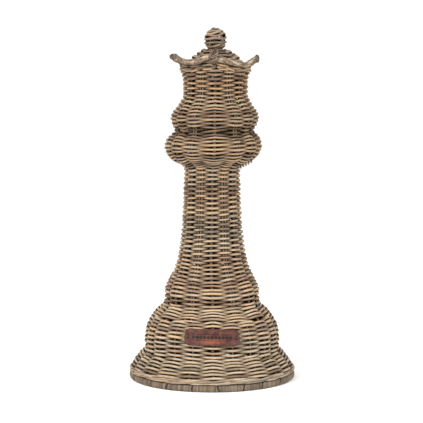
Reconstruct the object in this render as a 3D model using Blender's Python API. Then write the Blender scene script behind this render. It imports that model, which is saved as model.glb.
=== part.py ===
"""A giant lawn chess queen woven from rattan: cane frame, woven bands, crown rods and ball finial.

Units are metres and +Z is up. The origin is the centre of the round foot, on the ground, and
the front, where the leather label hangs, faces -Y.
"""
import functools
import math

import bmesh
import bpy
from mathutils import Vector

MM = 0.001
GAP = 0.3 * MM  # clearance between pieces that touch

# Cane sizes
WEAVER_DIAMETER = 4.0 * MM
SKIN = WEAVER_DIAMETER - GAP
POLE_RADIUS = 4.0 * MM
STAKE_RADIUS = 2.0 * MM
HOOP_RADIUS = 3.0 * MM
HOOP_SIDES = 6
ROD_RADIUS = 5.5 * MM

# The frame: thick poles, with a pair of thin stakes midway between each two poles
POLE_COUNT = 7
POLE_STEP = math.tau / POLE_COUNT
FACETS = 4 * POLE_COUNT
TWIN_SPREAD = 2.6 * MM
# In the foot each pair is opened out, so that poles and single stakes stand at equal steps
OPENED_SPREAD = POLE_STEP / 6
OPENED_BELOW = 96.0 * MM
PAIRED_ABOVE = 120.0 * MM
POLE_DEPTH = WEAVER_DIAMETER + POLE_RADIUS
STAKE_DEPTH = POLE_DEPTH + 0.4 * MM

# How far the woven skin sinks below the outline, at a pole, between the two, and at a pair of stakes
SKIN_SINK = {0: 0.0, 1: 1.5 * MM, 2: 2.0 * MM, 3: 1.5 * MM}

# The foot
RIM_CENTRE_RADIUS = 137.0 * MM
RIM_HEIGHT = 12.0 * MM
RIM_WRAP = 1.2 * MM
RIM_SIDES = 8

# The outline of the weave, as one chain of arcs: each band starts where the one below it ends.
# A row is height, radius, bulge of the arc that ends there and its number of steps.
OUTLINE_FOOT = (12.3, 144.0)
BAND_ARCS = {
    "border_weave": ((17.0, 144.0, 0.0, 1),),
    "skirt_weave": ((49.5, 117.5, 2.5, 3),),
    "drum_weave": ((70.0, 118.8, 0.0, 1), (127.0, 84.5, 8.5, 5)),
    "shoulder_weave": ((152.0, 84.0, 0.0, 1), (181.0, 69.5, 1.0, 2), (206.0, 61.0, -1.0, 1)),
    "column_weave": ((250.0, 54.2, -0.5, 1), (358.0, 49.3, -1.0, 2)),
    "collar_weave": ((366.5, 52.0, 0.0, 1), (396.0, 87.0, 7.5, 4), (424.5, 68.5, 6.0, 3)),
    "head_weave": ((447.0, 79.0, 2.0, 2), (470.0, 65.5, 3.0, 2), (484.0, 57.8, -1.0, 1)),
    "crown_neck_weave": ((512.0, 56.8, 0.0, 1), (521.0, 58.5, 0.0, 1), (529.0, 62.5, 0.0, 1)),
}
ROOF_FOOT = (531.5, 53.0)
ROOF_ARCS = ((539.0, 50.5, 0.0, 1), (550.5, 42.0, 0.5, 1), (566.0, 18.5, 0.5, 2))
ROOF_SKIN = 3.0 * MM
STAKE_ROOF_DEPTH = ROOF_SKIN + GAP + STAKE_RADIUS + 0.4 * MM

# Heights of the hoops that hold the poles apart
HOOP_HEIGHTS = {
    "drum_hoop": 66.0 * MM,
    "shoulder_hoop": 140.0 * MM,
    "neck_hoop": 349.0 * MM,
    "waist_hoop": 424.0 * MM,
    "crown_hoop": 508.0 * MM,
}

# Above its neck the piece leans a little towards +X, along a smooth step between two heights
LEAN = 5.8 * MM
LEAN_FROM = 335.0 * MM
LEAN_TO = 485.0 * MM

# The crown rods. Each spans a quarter turn, and its route is degrees round the crown, radius and
# height of the centre line: an end, the sag in the middle, and the other end mirrored. An end is
# a horn that turns up and out, or it is tucked in under the neighbour's horn.
ROD_HORN = ((0.5, 74.0, 551.0), (3.5, 68.5, 547.2), (9.0, 64.0, 544.0), (18.0, 61.5, 541.0))
ROD_TUCKED = ((3.5, 61.0, 546.0), (15.0, 60.5, 541.5))
ROD_SAG = ((29.0, 60.0, 537.5), (45.0, 60.0, 536.2), (61.0, 60.0, 537.5))
ROD_SPAN = 90.0
# For each rod, its two ends, and how much higher than the route it lies at its start, sag and end
RODS = (
    (ROD_TUCKED, ROD_HORN, (3.0, 0.0, -1.0)),
    (ROD_TUCKED, ROD_HORN, (0.0, 0.5, 1.0)),
    (ROD_TUCKED, ROD_TUCKED, (0.0, 0.5, 0.0)),
    (ROD_HORN, ROD_HORN, (2.0, 4.5, 6.0)),
)

# The finial
BALL_CENTRE = 581.0 * MM
BALL_WIRE = 4.0 * MM
BALL_RADIUS = 19.6 * MM - BALL_WIRE / 2
BALL_SEGMENTS = 8
BALL_RINGS = 7
STEM_RADIUS = 4.5 * MM
STEM_SIDES = 8
STEM_BOTTOM = 548.0 * MM
STEM_TOP = 594.0 * MM
STEM_LASHING_RADIUS = 10.0 * MM
STEM_LASHING_HEIGHTS = (556.0 * MM, 562.0 * MM)

# The leather label, which leans with the wall of the drum
LABEL_LENGTH = 94.0 * MM
LABEL_HALF_HEIGHT = 14.2 * MM
LABEL_THICKNESS = 2.2 * MM
LABEL_HEIGHT = 87.0 * MM
LABEL_LEAN = math.radians(15.0)
LABEL_STAND_OFF = 0.6 * MM
SLOT_INSET = 4.5 * MM
SLOT_WIDTH = 2.4 * MM
SLOT_HALF_HEIGHT = 3.0 * MM
TIE_RADIUS = 0.5 * MM

# Lashing that binds the collar's first rounds to the column
LASHING_ANGLE = math.radians(64.0)
LASHING_HALF_WIDTH = 6.0 * MM
LASHING_THICKNESS = 2.4 * MM

# Colour, roughness
CANE = ((0.42, 0.32, 0.22), 0.7)
CANE_PALE = ((0.48, 0.38, 0.28), 0.65)
CANE_DARK = ((0.27, 0.20, 0.14), 0.75)
BARK = ((0.34, 0.29, 0.24), 0.8)
LEATHER = ((0.20, 0.07, 0.045), 0.55)


def clear_scene():
    for item in list(bpy.data.objects):
        bpy.data.objects.remove(item, do_unlink=True)


def finish(name, mesh_builder, look):
    """Turn a bmesh into a named object with a material of its own."""
    bmesh.ops.recalc_face_normals(mesh_builder, faces=mesh_builder.faces)
    mesh = bpy.data.meshes.new(name)
    mesh_builder.to_mesh(mesh)
    mesh_builder.free()
    item = bpy.data.objects.new(name, mesh)
    bpy.context.scene.collection.objects.link(item)
    colour, roughness = look
    material = bpy.data.materials.new(name)
    material.use_nodes = True
    shader = material.node_tree.nodes["Principled BSDF"]
    shader.inputs["Base Color"].default_value = (*colour, 1.0)
    shader.inputs["Roughness"].default_value = roughness
    shader.inputs["Metallic"].default_value = 0.0
    mesh.materials.append(material)
    return item


def loft(name, sections, look, closed=False):
    """Skin a list of sections, each a loop of points; closed joins the last one to the first."""
    builder = bmesh.new()
    loops = [[builder.verts.new(point) for point in section] for section in sections]
    pairs = list(zip(loops, loops[1:]))
    if closed:
        pairs.append((loops[-1], loops[0]))
    else:
        builder.faces.new(loops[0])
        builder.faces.new(loops[-1])
    for lower, upper in pairs:
        for i in range(len(lower)):
            j = (i + 1) % len(lower)
            builder.faces.new((lower[i], lower[j], upper[j], upper[i]))
    return finish(name, builder, look)


def outward(angle):
    """Unit vector away from the axis; angle 0 is the front and a quarter turn is +X."""
    return Vector((math.sin(angle), -math.cos(angle), 0.0))


def sideways(angle):
    return Vector((math.cos(angle), math.sin(angle), 0.0))


def smooth_share(value, low, high):
    """How far value has gone from low to high, from 0 to 1 and with soft ends."""
    share = min(max((value - low) / (high - low), 0.0), 1.0)
    return share * share * (3 - 2 * share)


def lean(height):
    """How far towards +X the axis lies at a height."""
    return LEAN * smooth_share(height, LEAN_FROM, LEAN_TO)


def place(angle, height, radius, lateral=0.0):
    centre = Vector((lean(height), 0.0, height))
    return centre + outward(angle) * radius + sideways(angle) * lateral


def arc_chain(start, arcs):
    """Points (height, radius) in metres along a chain of arcs given in millimetres."""
    points = [Vector(start) * MM]
    for height, radius, bulge, steps in arcs:
        first = points[-1].copy()
        last = Vector((height, radius)) * MM
        run = last - first
        out = Vector((-run.y, run.x)).normalized()
        for step in range(1, steps + 1):
            share = step / steps
            points.append(first + run * share + out * (bulge * MM * 4 * share * (1 - share)))
    return points


def offset(points, depth):
    """Move an outline inward by depth along its mitred normals."""
    moved = []
    for i, point in enumerate(points):
        before = point - points[i - 1] if i else points[1] - point
        after = points[i + 1] - point if i + 1 < len(points) else before
        normal_before = Vector((-before.y, before.x)).normalized()
        normal_after = Vector((-after.y, after.x)).normalized()
        mitre = (normal_before + normal_after).normalized()
        moved.append(point - mitre * (depth / mitre.dot(normal_after)))
    return moved


def trim(points, amount):
    """Shorten an outline by amount at both ends."""
    trimmed = list(points)
    trimmed[0] = points[0] + (points[1] - points[0]).normalized() * amount
    trimmed[-1] = points[-1] + (points[-2] - points[-1]).normalized() * amount
    return trimmed


def body_outline():
    """The whole outline below the crown rods, and where each band starts and ends on it."""
    arcs = []
    spans = {}
    count = 0
    for name, band in BAND_ARCS.items():
        steps = sum(row[3] for row in band)
        spans[name] = (count, count + steps)
        count += steps
        arcs.extend(band)
    return arc_chain(OUTLINE_FOOT, arcs), spans


def cane(name, stance, path, radius, sides, look):
    """An upright cane that follows path, a list of (height, radius).

    stance gives, for a height, its angle round the piece and its step sideways from there.
    """
    inner = offset(path, radius)
    sections = []
    for centre, edge in zip(path, inner):
        across = centre - edge
        angle, lateral = stance(centre.x)
        section = []
        for k in range(sides):
            turn = math.tau * k / sides
            spot = centre + across * math.cos(turn)
            section.append(place(angle, spot.x, spot.y, lateral + radius * math.sin(turn)))
        sections.append(section)
    return loft(name, sections, look)


def make_poles(outline):
    path = offset(outline, POLE_DEPTH)[:-1]
    for k in range(POLE_COUNT):
        stance = (k * POLE_STEP, 0.0)
        cane(f"frame_pole_{k + 1}", lambda height, stance=stance: stance, path, POLE_RADIUS, 6, CANE_DARK)


def stake_stance(middle, side, height):
    """A stake's angle and its step sideways; middle is its pair's angle and side is -1 or 1."""
    opened = 1 - smooth_share(height, OPENED_BELOW, PAIRED_ABOVE)
    return middle + side * OPENED_SPREAD * opened, side * TWIN_SPREAD * (1 - opened)


def make_stakes(outline, roof):
    wall = offset(outline, STAKE_DEPTH)[:-2]
    path = wall + offset(roof, STAKE_ROOF_DEPTH)
    for k in range(POLE_COUNT):
        for side, letter in ((-1, "a"), (1, "b")):
            stance = functools.partial(stake_stance, (k + 0.5) * POLE_STEP, side)
            cane(f"stake_{k + 1}{letter}", stance, path, STAKE_RADIUS, 5, CANE_PALE)


def ring(name, profile, look):
    """A closed ring round the axis; profile maps a facet's number to a loop of (height, radius)."""
    sections = []
    for k in range(FACETS):
        angle = math.tau * k / FACETS
        sections.append([place(angle, spot.x, spot.y) for spot in profile(k)])
    return loft(name, sections, look, closed=True)


def reach(apothem, sides):
    """Distance from a regular polygon's centre to its corners."""
    return apothem / math.cos(math.pi / sides)


def polygon(centre, apothem, sides):
    """A regular polygon with a flat side at its lowest and its highest point."""
    turns = [math.tau * (k + 0.5) / sides for k in range(sides)]
    far = reach(apothem, sides)
    return [centre + Vector((math.cos(turn), math.sin(turn))) * far for turn in turns]


def narrowest(path, height, margin):
    """Least radius of a path of (height, radius) within margin of a height."""
    samples = [low.lerp(high, t / 20) for low, high in zip(path, path[1:]) for t in range(21)]
    return min(spot.y for spot in samples if abs(spot.x - height) < margin)


def make_hoops(outline):
    """Hoops inside the poles, each as wide as the poles let it be."""
    inside = offset(outline, POLE_DEPTH + POLE_RADIUS + GAP)
    for name, height in HOOP_HEIGHTS.items():
        radius = narrowest(inside, height, 2 * HOOP_RADIUS) - reach(HOOP_RADIUS, HOOP_SIDES)
        section = polygon(Vector((height, radius)), HOOP_RADIUS, HOOP_SIDES)
        ring(name, lambda facet, section=section: section, CANE_DARK)


def make_foot():
    """The ground hoop, and the peel wrapped round it, left open along the inside."""
    centre = Vector((RIM_HEIGHT / 2, RIM_CENTRE_RADIUS))
    core = polygon(centre, RIM_HEIGHT / 2 - RIM_WRAP - GAP, RIM_SIDES)
    ring("ground_hoop", lambda facet: core, CANE_DARK)
    outer = polygon(centre, RIM_HEIGHT / 2, RIM_SIDES)
    inner = polygon(centre, RIM_HEIGHT / 2 - RIM_WRAP, RIM_SIDES)
    # The points run round from the top; leaving out one side, the innermost, opens the wrap
    order = [6, 7, 0, 1, 2, 3, 4, 5]
    wrap = [outer[k] for k in order] + [inner[k] for k in reversed(order)]
    ring("rim_wrap", lambda facet: wrap, BARK)


def make_band(name, points, span, thickness, sink):
    """A thin woven skin over one span of an outline, which sinks between the poles."""
    start, end = span

    def profile(facet):
        depth = sink[facet % 4]
        outer = trim(offset(points, depth)[start:end + 1], GAP / 2)
        inner = trim(offset(points, depth + thickness)[start:end + 1], GAP / 2)
        return outer + inner[::-1]

    ring(name, profile, CANE)


def tube_sections(points, radius, sides):
    """Round sections across a chain of points, kept level as far as they can be."""
    sections = []
    for i, point in enumerate(points):
        before = points[max(i - 1, 0)]
        after = points[min(i + 1, len(points) - 1)]
        along = (after - before).normalized()
        level = along.cross(Vector((0.0, 0.0, 1.0))).normalized()
        rise = level.cross(along)
        turns = [math.tau * k / sides for k in range(sides)]
        sections.append([point + (level * math.cos(t) + rise * math.sin(t)) * radius for t in turns])
    return sections


def rod_route(first_end, last_end, lifts):
    """Degrees, radius and height in millimetres along one crown rod."""
    mirrored = [(ROD_SPAN - degrees, radius, height) for degrees, radius, height in last_end]
    start_lift, sag_lift, end_lift = lifts
    route = []
    for degrees, radius, height in (*first_end, *ROD_SAG, *mirrored[::-1]):
        from_middle = 2 * degrees / ROD_SPAN - 1
        side_lift = start_lift if from_middle < 0 else end_lift
        lift = sag_lift + (side_lift - sag_lift) * abs(from_middle)
        route.append((degrees, radius, height + lift))
    return route


def make_crown_rods():
    for k, (first_end, last_end, lifts) in enumerate(RODS):
        points = []
        for degrees, radius, height in rod_route(first_end, last_end, lifts):
            points.append(place(math.radians(ROD_SPAN * k + degrees), height * MM, radius * MM))
        loft(f"crown_rod_{k + 1}", tube_sections(points, ROD_RADIUS, 8), BARK)


def make_ball():
    """An open cage of wound cane, with a mouth below for the stem."""
    builder = bmesh.new()
    bmesh.ops.create_uvsphere(
        builder, u_segments=BALL_SEGMENTS, v_segments=BALL_RINGS, radius=BALL_RADIUS
    )
    lowest = min(builder.verts, key=lambda corner: corner.co.z)
    bmesh.ops.delete(builder, geom=[lowest], context="VERTS")
    item = finish("finial_ball", builder, CANE)
    item.location = (lean(BALL_CENTRE), 0.0, BALL_CENTRE)
    cage = item.modifiers.new("cage", "WIREFRAME")
    cage.thickness = BALL_WIRE
    cage.use_boundary = True
    cage.use_even_offset = False
    return item


def make_stem():
    sections = []
    for height in (STEM_BOTTOM, STEM_TOP):
        corners = polygon(Vector((lean(height), 0.0)), STEM_RADIUS, STEM_SIDES)
        sections.append([Vector((corner.x, corner.y, height)) for corner in corners])
    loft("finial_stem", sections, CANE_DARK)


def make_stem_lashing():
    """The binding between the stem and the gathered tips of the stakes."""
    inner = reach(STEM_RADIUS, STEM_SIDES) + GAP
    outer = STEM_LASHING_RADIUS
    low, high = STEM_LASHING_HEIGHTS
    corners = [Vector((low, inner)), Vector((low, outer)), Vector((high, outer)), Vector((high, inner))]
    ring("stem_lashing", lambda facet: corners, CANE_PALE)


def label_frame():
    """Radius of the label's inner face at its middle height."""
    drum_radius = BAND_ARCS["drum_weave"][0][1] * MM
    return drum_radius - 2.0 * MM + LABEL_STAND_OFF


def on_label(along, up, out):
    """A point on the label: metres along its arc, up its lean and out of its inner face."""
    middle = label_frame()
    angle = along / (middle + LABEL_THICKNESS)
    radius = middle - up * math.sin(LABEL_LEAN) + out * math.cos(LABEL_LEAN)
    height = LABEL_HEIGHT + up * math.cos(LABEL_LEAN) + out * math.sin(LABEL_LEAN)
    return place(angle, height, radius)


def label_columns():
    """Places along the label where its outline or its slots change, with the half height there."""
    half = LABEL_LENGTH / 2
    slot_out = half - SLOT_INSET
    slot_in = slot_out - SLOT_WIDTH
    ends = ((half, 0.45), (half - 1.5 * MM, 0.68), (slot_out, 0.88), (slot_in, 0.96))
    middle = [half * share for share in (0.66, 0.44, 0.22, 0.0)]
    right = [(along, share * LABEL_HALF_HEIGHT) for along, share in ends]
    right += [(along, LABEL_HALF_HEIGHT) for along in middle]
    left = [(-along, tall) for along, tall in right[:-1]]
    return left + right[::-1]


def make_label():
    """A curved leather strip with rounded ends and a slot near each end for its tie."""
    columns = label_columns()
    builder = bmesh.new()
    grid = []
    for along, tall in columns:
        rows = (-tall, -SLOT_HALF_HEIGHT, SLOT_HALF_HEIGHT, tall)
        grid.append([builder.verts.new(on_label(along, row, 0.0)) for row in rows])
    slot_cells = (2, len(columns) - 4)
    for i in range(len(columns) - 1):
        for j in range(3):
            if j == 1 and i in slot_cells:
                continue
            builder.faces.new((grid[i][j], grid[i + 1][j], grid[i + 1][j + 1], grid[i][j + 1]))
    bmesh.ops.recalc_face_normals(builder, faces=builder.faces)
    lifted = bmesh.ops.extrude_face_region(builder, geom=builder.faces[:])
    for corner in [part for part in lifted["geom"] if isinstance(part, bmesh.types.BMVert)]:
        along, row = label_address(corner.co, grid, columns)
        corner.co = on_label(along, row, LABEL_THICKNESS)
    finish("leather_label", builder, LEATHER)


def label_address(spot, grid, columns):
    """Which column and row of the label's grid a point lies on."""
    for (along, tall), corners in zip(columns, grid):
        rows = (-tall, -SLOT_HALF_HEIGHT, SLOT_HALF_HEIGHT, tall)
        for row, corner in zip(rows, corners):
            if (corner.co - spot).length < MM / 100:
                return along, row
    raise ValueError("point is not on the label")


def make_ties():
    """A loop of lace at each end of the label, through the slot and round the edge."""
    half = LABEL_LENGTH / 2
    clear = GAP + TIE_RADIUS
    near = half + clear
    far = half - SLOT_INSET - SLOT_WIDTH / 2
    low = -clear
    high = LABEL_THICKNESS + clear
    route = ((near, low), (near, high), (far, high), (far, low))
    for side, name in ((-1, "label_tie_left"), (1, "label_tie_right")):
        sections = []
        for i, (along, out) in enumerate(route):
            # Each corner is a square of lace, mitred between its two runs
            sign_along = 1 if along == near else -1
            sign_out = 1 if out == high else -1
            section = []
            for up, spread in ((-1, -1), (1, -1), (1, 1), (-1, 1)):
                shift = spread * TIE_RADIUS
                spot = on_label(
                    side * (along + sign_along * shift), up * TIE_RADIUS, out + sign_out * shift
                )
                section.append(spot)
            sections.append(section)
        loft(name, sections, LEATHER, closed=True)


def make_neck_lashing(outline, spans):
    """A bound strip up the side of the collar's underside."""
    start, end = spans["collar_weave"]
    stretch = trim(outline[start:end - 4], GAP)
    outer = offset(stretch, -GAP - LASHING_THICKNESS)
    inner = offset(stretch, -GAP)
    sections = []
    for low, high in zip(inner, outer):
        section = []
        for spot, lateral in ((low, -1), (high, -1), (high, 1), (low, 1)):
            section.append(place(LASHING_ANGLE, spot.x, spot.y, lateral * LASHING_HALF_WIDTH))
        sections.append(section)
    loft("neck_lashing", sections, CANE_PALE)


def main():
    clear_scene()
    outline, spans = body_outline()
    roof = arc_chain(ROOF_FOOT, ROOF_ARCS)
    make_foot()
    make_hoops(outline)
    make_poles(outline)
    make_stakes(outline, roof)
    for name, span in spans.items():
        make_band(name, outline, span, SKIN, SKIN_SINK)
    make_band("roof_weave", roof, (0, len(roof) - 1), ROOF_SKIN, dict.fromkeys(range(4), 0.0))
    make_crown_rods()
    make_ball()
    make_stem()
    make_stem_lashing()
    make_label()
    make_ties()
    make_neck_lashing(outline, spans)


main()
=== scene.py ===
"""Looks of the giant chess queen: rattan woven round a cane frame, crown rods, ball and leather label."""

import math

import bpy
import numpy as np
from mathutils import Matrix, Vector
from mathutils.bvhtree import BVHTree


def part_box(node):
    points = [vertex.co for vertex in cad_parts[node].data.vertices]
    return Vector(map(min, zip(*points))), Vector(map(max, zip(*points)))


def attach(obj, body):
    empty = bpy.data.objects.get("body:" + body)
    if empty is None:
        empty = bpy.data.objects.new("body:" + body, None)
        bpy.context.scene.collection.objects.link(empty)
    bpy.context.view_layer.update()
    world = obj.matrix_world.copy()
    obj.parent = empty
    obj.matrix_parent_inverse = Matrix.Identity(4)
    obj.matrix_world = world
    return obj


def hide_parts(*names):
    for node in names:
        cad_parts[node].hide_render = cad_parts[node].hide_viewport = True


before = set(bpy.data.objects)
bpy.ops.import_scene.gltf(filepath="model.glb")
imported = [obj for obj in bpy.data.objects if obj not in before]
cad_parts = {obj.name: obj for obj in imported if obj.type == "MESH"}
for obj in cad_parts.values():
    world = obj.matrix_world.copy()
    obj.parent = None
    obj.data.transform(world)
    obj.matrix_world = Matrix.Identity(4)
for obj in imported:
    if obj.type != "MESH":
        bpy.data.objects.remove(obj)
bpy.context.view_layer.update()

MM = 0.001
SEED = 20

# The frame of canes: poles at the even positions round the wall, pairs of stakes at the odd ones
POLES = 7
POSITIONS = 2 * POLES
POLE_RADIUS = 3.1 * MM
STAKE_RADIUS = 1.7 * MM
TWIN_SPREAD = 2.3 * MM

# In the foot each pair of stakes is opened out, which makes three positions out of two
OPENED_POSITIONS = 3 * POLES
OPENED_BELOW = 112.0 * MM
OPENING = (96.0 * MM, 120.0 * MM)

# The weave: one strand winds up the foot, and above it two strands chase each other
WEAVER_RADIUS = 2.32 * MM
ROW_PITCH = 4.07 * MM
WIDEST_FAN = 2.1
PRESSED_IN = 0.4 * MM
HIDDEN_SPREAD = 0.17
POLE_DEPTH = 6.9 * MM
STAKE_DEPTH = 7.0 * MM
STEPS_PER_TURN = 168
STRAND_SIDES = 8

# Above its neck the piece leans a little towards +X, along a smooth step between two heights
LEAN = 5.8 * MM
LEAN_FROM = 335.0 * MM
LEAN_TO = 485.0 * MM

# Round the two bulges of the head the strands run flatter
BULGES_HEIGHT = 425.0 * MM
BULGES_REACH = 68.0 * MM
BULGES_CALM = 0.26
BULGES_THINNER = 0.11
BULGES_EASED = 0.7
WAIST_HEIGHT = 424.5 * MM
WAIST_REACH = 5.0 * MM
WAIST_SHADE = 0.55

BANDS = (
    "border_weave", "skirt_weave", "drum_weave", "shoulder_weave",
    "column_weave", "collar_weave", "head_weave", "crown_neck_weave",
)
HOOPS = ("drum_hoop", "shoulder_hoop", "neck_hoop", "waist_hoop", "crown_hoop")


# ---- camera, light and floor


def link(item):
    bpy.context.scene.collection.objects.link(item)


def make_camera():
    """The photograph's view: level with the crown, looking slightly down through a long lens."""
    eye_height = 515.0 * MM
    distance = 2550.0 * MM
    sideways = -0.9 * MM
    tilt = math.radians(5.12)
    data = bpy.data.cameras.new("camera")
    data.sensor_width = 36.0
    data.lens = 126.66
    camera = bpy.data.objects.new("camera", data)
    camera.location = (sideways, -distance, eye_height)
    camera.rotation_euler = (math.pi / 2 - tilt, 0.0, 0.0)
    link(camera)
    bpy.context.scene.camera = camera


def make_light(name, place, size, power):
    """A square area light that faces the lower part of the piece."""
    data = bpy.data.lights.new(name, "AREA")
    data.size = size
    data.energy = power
    light = bpy.data.objects.new(name, data)
    light.location = place
    aim = Vector((0.0, 0.0, 0.15)) - Vector(place)
    light.rotation_euler = aim.to_track_quat("-Z", "Y").to_euler()
    link(light)


def make_studio():
    """A wide white floor, a white sky and two soft lights."""
    scene = bpy.context.scene
    scene.view_settings.view_transform = "Standard"
    world = bpy.data.worlds.new("sky")
    world.use_nodes = True
    sky = world.node_tree.nodes["Background"]
    sky.inputs["Color"].default_value = (1.0, 1.0, 1.0, 1.0)
    sky.inputs["Strength"].default_value = 1.08
    scene.world = world
    make_light("key", (-1.9, -2.3, 1.9), 1.1, 105.0)
    make_light("fill", (2.1, -2.2, 1.0), 1.3, 60.0)

    reach = 14.0
    corners = [(-reach, -reach, 0.0), (reach, -reach, 0.0), (reach, reach, 0.0), (-reach, reach, 0.0)]
    mesh = bpy.data.meshes.new("studio_floor")
    mesh.from_pydata(corners, [], [(0, 1, 2, 3)])
    paper = Graph("paper")
    paper.feed((0.95, 0.95, 0.95, 1.0), paper.shader.inputs["Base Color"])
    paper.feed(0.9, paper.shader.inputs["Roughness"])
    paper.feed(0.1, paper.shader.inputs["Specular IOR Level"])
    mesh.materials.append(paper.material)
    floor = bpy.data.objects.new("studio_floor", mesh)
    link(floor)


# ---- node helpers


class Graph:
    """Short calls for building a material's node tree."""

    def __init__(self, name):
        self.material = bpy.data.materials.new(name)
        self.material.use_nodes = True
        self.tree = self.material.node_tree
        self.shader = self.tree.nodes["Principled BSDF"]

    def node(self, kind, feeds=(), **settings):
        """A node with settings by name, and with its sockets fed by name or by number."""
        made = self.tree.nodes.new(kind)
        for key, value in settings.items():
            setattr(made, key, value)
        for key, value in dict(feeds).items():
            self.feed(value, made.inputs[key])
        return made

    def feed(self, value, socket):
        """Link an output to a socket, or set a plain value on it."""
        if isinstance(value, bpy.types.NodeSocket):
            self.tree.links.new(value, socket)
        else:
            socket.default_value = value

    def attribute(self, name):
        return self.node("ShaderNodeAttribute", attribute_name=name).outputs["Fac"]

    def math(self, operation, *values):
        return self.node("ShaderNodeMath", enumerate(values), operation=operation).outputs[0]

    def span(self, value, low, high, to_low=0.0, to_high=1.0):
        """A value's share of the way from low to high, spread over another range."""
        feeds = {"Value": value, "From Min": low, "From Max": high, "To Min": to_low, "To Max": to_high}
        return self.node("ShaderNodeMapRange", feeds, clamp=True).outputs["Result"]

    def coords(self, *values):
        return self.node("ShaderNodeCombineXYZ", enumerate(values)).outputs[0]

    def noise(self, vector, scale, detail, rough):
        feeds = {"Vector": vector, "Scale": scale, "Detail": detail, "Roughness": rough}
        return self.node("ShaderNodeTexNoise", feeds).outputs["Fac"]

    def mix(self, share, first, second, blend="MIX"):
        feeds = {0: share, 6: first, 7: second}
        return self.node("ShaderNodeMix", feeds, data_type="RGBA", blend_type=blend).outputs[2]

    def ramp(self, value, *stops):
        made = self.node("ShaderNodeValToRGB", {"Fac": value})
        points = made.color_ramp.elements
        for place, _ in stops[2:]:
            points.new(place)
        for point, (place, colour) in zip(points, stops):
            point.position = place
            point.color = (*colour, 1.0)
        return made.outputs["Color"]

    def position(self):
        return self.node("ShaderNodeNewGeometry").outputs["Position"]

    def finish(self, colour, texture, roughness, relief, depth, strength, gloss):
        """Feed the shader a colour, a roughness that follows a texture, and the bump of a relief."""
        bump = self.node("ShaderNodeBump", {"Strength": strength, "Distance": depth, "Height": relief})
        feeds = {
            "Base Color": colour,
            "Roughness": self.span(texture, 0.3, 0.7, *roughness),
            "Normal": bump.outputs["Normal"],
            "Specular IOR Level": gloss,
        }
        for key, value in feeds.items():
            self.feed(value, self.shader.inputs[key])
        return self.material


# ---- materials

# Linear colours of dry, unpeeled rattan: grey, beige, golden, rosy and brown lengths
CANE_COLOURS = (
    (0.0, (0.110, 0.087, 0.066)),
    (0.17, (0.260, 0.205, 0.146)),
    (0.34, (0.385, 0.295, 0.202)),
    (0.50, (0.300, 0.217, 0.142)),
    (0.66, (0.410, 0.280, 0.160)),
    (0.80, (0.250, 0.160, 0.108)),
    (1.0, (0.090, 0.057, 0.038)),
)
PALE_FIBRE = (0.44, 0.345, 0.245, 1.0)
STAIN = (0.070, 0.038, 0.020, 1.0)
GREY = (0.200, 0.172, 0.136, 1.0)
# Near-black colour of painted shade
PAINTED_SHADE_COLOUR = (0.0110, 0.0055, 0.0028, 1.0)

# Painted light and shade by share of the piece's height: paler at the drum, darkest at the crown
FULL_HEIGHT = 0.6
PAINTED_LIGHT_BY_HEIGHT = (
    (0.0, (0.98, 0.98, 0.96)),
    (0.15, (1.12, 1.11, 1.10)),
    (0.32, (1.00, 0.97, 0.94)),
    (0.45, (0.93, 0.93, 0.92)),
    (0.62, (0.89, 0.87, 0.84)),
    (0.78, (0.84, 0.78, 0.72)),
    (0.86, (0.74, 0.69, 0.65)),
    (1.0, (0.86, 0.85, 0.84)),
)


def fibre_place(graph, along_scale, around_scale, shift):
    """Texture coordinates that run along a tube's fibres, with no seam round it."""
    around = graph.attribute("around")
    return graph.coords(
        graph.math("MULTIPLY_ADD", graph.attribute("along"), along_scale, shift),
        graph.math("MULTIPLY", graph.math("COSINE", around), around_scale),
        graph.math("MULTIPLY", graph.math("SINE", around), around_scale),
    )


def cane_material(name, grey=0.0):
    """Rattan: a tone for each length of cane, streaked along its fibres; painted shade where rounds touch
    and on hidden parts, painted light and shade by height.
    """
    graph = Graph(name)
    tint = graph.attribute("tint")
    shift = graph.math("MULTIPLY", tint, 37.0)
    fibres = graph.noise(fibre_place(graph, 75.0, 2.2, shift), 1.6, 4.0, 0.62)
    patches = graph.noise(fibre_place(graph, 20.0, 0.2, shift), 1.0, 3.0, 0.6)
    change = graph.span(patches, 0.3, 0.7, -0.16, 0.16)
    tone = graph.ramp(graph.math("ADD", tint, change), *CANE_COLOURS)
    streaked = graph.mix(graph.span(fibres, 0.46, 0.68, 0.0, 0.5), tone, PALE_FIBRE)
    stained = graph.mix(graph.span(fibres, 0.30, 0.47, 0.85, 0.0), streaked, STAIN)
    greyed = graph.mix(grey, stained, GREY)
    height = graph.node("ShaderNodeSeparateXYZ", {0: graph.position()}).outputs["Z"]
    # Painted light and shade by height, multiplied into the colour
    painted_height_light = graph.ramp(graph.math("DIVIDE", height, FULL_HEIGHT), *PAINTED_LIGHT_BY_HEIGHT)
    greyed_with_painted_light = graph.mix(1.0, greyed, painted_height_light, "MULTIPLY")
    # Painted shade: each strand's sides and inner face darken where rounds touch, and the parts hidden
    # behind the canes darken too
    painted_crevice_shade = graph.span(graph.math("COSINE", graph.attribute("around")), 0.91, 0.20, 0.0, 0.96)
    painted_depth_shade = graph.span(graph.attribute("show"), 0.16, 0.77, 0.98, 0.0)
    colour = graph.mix(painted_depth_shade, graph.mix(painted_crevice_shade, greyed_with_painted_light, PAINTED_SHADE_COLOUR), PAINTED_SHADE_COLOUR)
    return graph.finish(colour, fibres, (0.52, 0.74), fibres, 0.3 * MM, 0.9, 0.06)


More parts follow.
